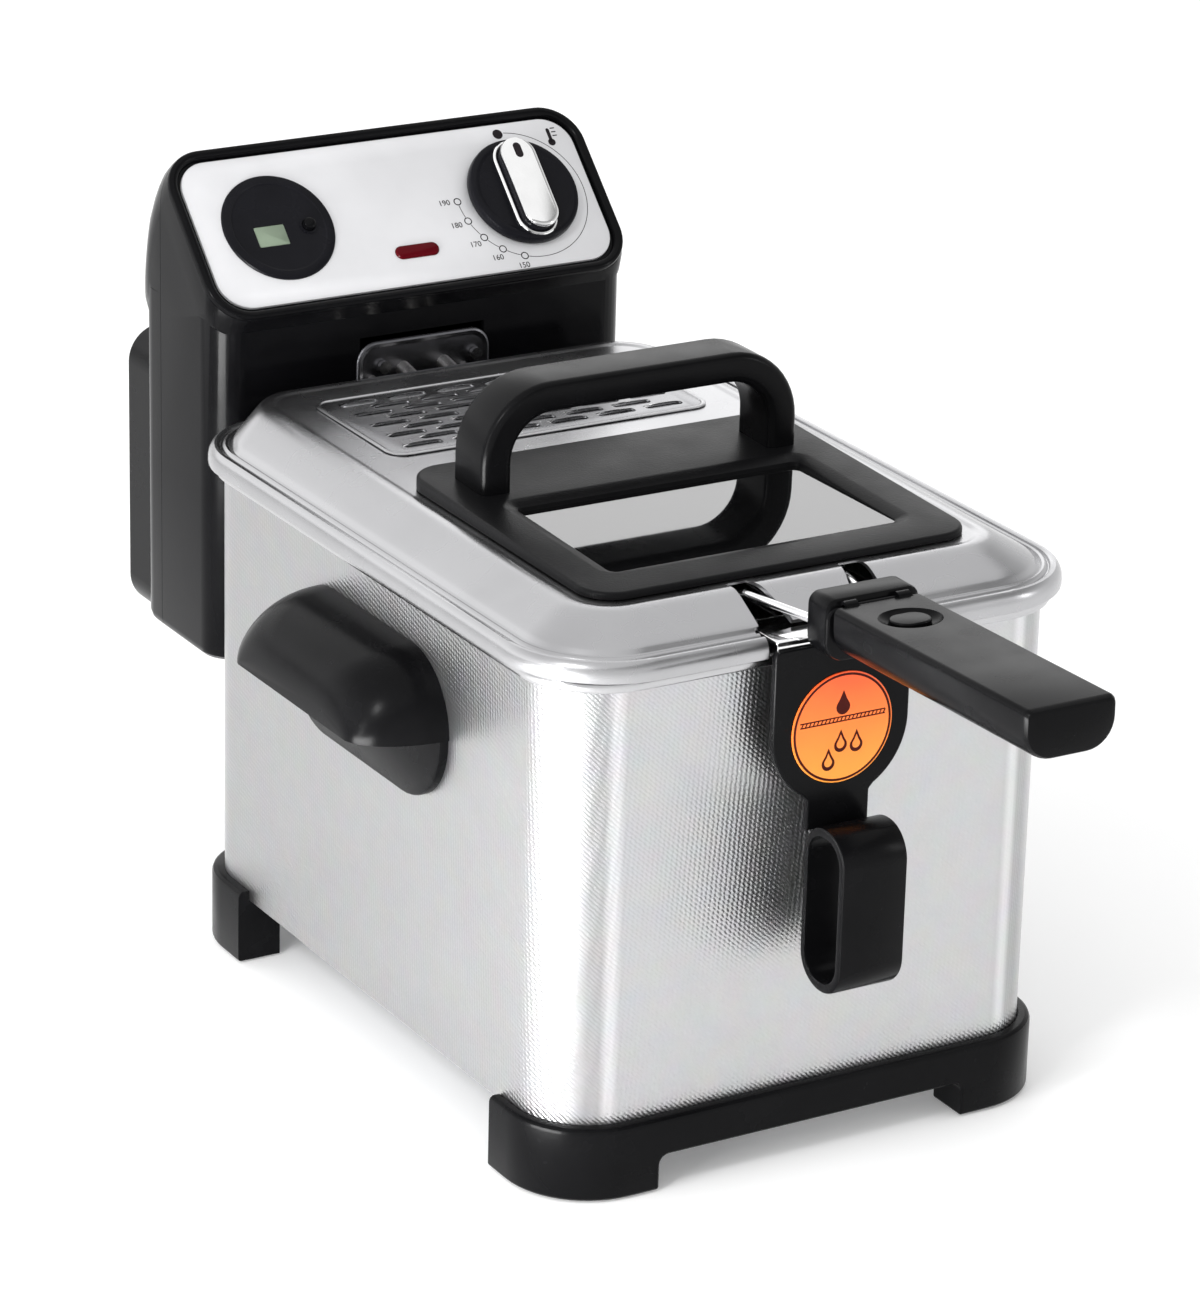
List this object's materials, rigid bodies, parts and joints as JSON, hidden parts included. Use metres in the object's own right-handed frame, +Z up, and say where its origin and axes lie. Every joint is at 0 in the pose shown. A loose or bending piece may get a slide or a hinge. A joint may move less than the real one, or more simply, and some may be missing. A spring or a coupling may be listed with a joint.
{
  "type": "deep fryer",
  "caption": "Semi-professional deep fryer: steel casing, removable bowl, oil filter tray, basket with folding handle, windowed lift-off lid and a hung control head.",
  "frame": {"origin": "on the surface the fryer stands on, under the middle of its overall box", "axes": "+X to the right seen from the front, +Y to the back along the fryer, +Z up"},
  "size_m": [0.29, 0.5675, 0.3123],
  "materials": {
    "steel_casing": "linen-textured satin",
    "steel_lid": "satin",
    "steel_bowl": "satin",
    "bright_steel": "polished",
    "wire": "polished",
    "zinc_steel": "zinc plated",
    "black_plastic": "satin",
    "head_plastic": "semi-gloss",
    "frame_plastic": "fine texture",
    "dial_plastic": "fine texture",
    "pad_rubber": "matt",
    "gasket_rubber": "matt",
    "window_glass": "polished",
    "panel_silver": "satin",
    "display": "clear window",
    "lamp_red": "translucent",
    "badge_orange": "gloss print",
    "element_sheath": "heat tinted",
    "circuit_board": "solder mask",
    "terminal_ceramic": "matt"
  },
  "bodies": {
    "root": {"outer_casing": "steel_casing", "base_plate": "zinc_steel", "head_guide_rails": "zinc_steel", "front_foot_bar": "black_plastic", "rear_foot_bar": "black_plastic", "foot_pads": "pad_rubber", "foot_screws": "zinc_steel", "right_side_handle": "black_plastic", "left_side_handle": "black_plastic", "side_handle_screws": "zinc_steel"},
    "bowl": {"oil_bowl": "steel_bowl"},
    "control_head": {"head_front_shell": "head_plastic", "head_rear_cover": "head_plastic", "control_panel": "panel_silver", "timer_disc": "dial_plastic", "timer_display": "display", "pilot_lamp": "lamp_red", "thermostat_unit": "terminal_ceramic", "timer_circuit_board": "circuit_board", "terminal_block": "terminal_ceramic", "interlock_switch": "black_plastic", "cord_gland": "black_plastic", "cord_store_box": "black_plastic", "heating_element": "element_sheath", "thermostat_probes": "element_sheath", "element_seat_plate": "zinc_steel", "element_seat_screws": "bright_steel", "element_leg_clip": "bright_steel"},
    "temperature_knob": {"knob_body": "dial_plastic", "knob_grip_insert": "bright_steel", "thermostat_shaft": "zinc_steel"},
    "timer_key": {"timer_button": "black_plastic"},
    "reset_key": {"reset_button": "lamp_red"},
    "filter": {"filter_tray_frame": "bright_steel", "filter_tray_mesh": "wire", "filter_strap": "bright_steel", "filter_tag_plate": "black_plastic", "filter_badge": "badge_orange", "filter_loop_handle": "black_plastic"},
    "basket": {"basket_mesh": "wire", "basket_rim": "wire", "basket_handle_wires": "wire", "handle_collar": "black_plastic", "handle_fold_pin": "black_plastic"},
    "basket_handle": {"basket_handle_grip": "black_plastic"},
    "handle_release": {"handle_release_button": "black_plastic"},
    "lid": {"lid_shell": "steel_lid", "window_frame": "frame_plastic", "window_glass": "window_glass", "window_gasket": "gasket_rubber", "lid_handle": "black_plastic", "lid_handle_screws": "zinc_steel", "filter_grille": "bright_steel", "odour_filter_mesh": "wire", "filter_holder": "zinc_steel"}
  },
  "joints": [
    {"name": "bowl_lift", "type": "slide", "parent": "root", "child": "bowl", "axis": [0, 0, 1], "range_m": [0, 0.16]},
    {"name": "head_lift", "type": "slide", "parent": "bowl", "child": "control_head", "axis": [0, 0, 1], "range_m": [0, 0.15]},
    {"name": "filter_lift", "type": "slide", "parent": "control_head", "child": "filter", "axis": [0, 0, 1], "range_m": [0, 0.14]},
    {"name": "basket_lift", "type": "slide", "parent": "filter", "child": "basket", "axis": [0, 0, 1], "range_m": [0, 0.13]},
    {"name": "lid_lift", "type": "slide", "parent": "basket", "child": "lid", "axis": [0, 0, 1], "range_m": [0, 0.12]},
    {"name": "temperature_turn", "type": "hinge", "parent": "control_head", "child": "temperature_knob", "pos_m": [0.0576, 0.20297, 0.2831], "axis": [0, 0.6947, -0.7193], "range_deg": [0, 271]},
    {"name": "timer_press", "type": "slide", "parent": "control_head", "child": "timer_key", "axis": [0, 0.6947, -0.7193], "range_m": [0, 0.0012], "stiffness_N_per_m": 600},
    {"name": "reset_press", "type": "slide", "parent": "control_head", "child": "reset_key", "axis": [0, 0, 1], "range_m": [0, 0.0015], "stiffness_N_per_m": 600},
    {"name": "handle_fold", "type": "hinge", "parent": "basket", "child": "basket_handle", "pos_m": [0, -0.16043, 0.233], "axis": [-1, 0, 0], "range_deg": [0, 90]},
    {"name": "handle_release_press", "type": "slide", "parent": "basket_handle", "child": "handle_release", "axis": [0, -0.0262, -0.9997], "range_m": [0, 0.002], "stiffness_N_per_m": 500}
  ]
}
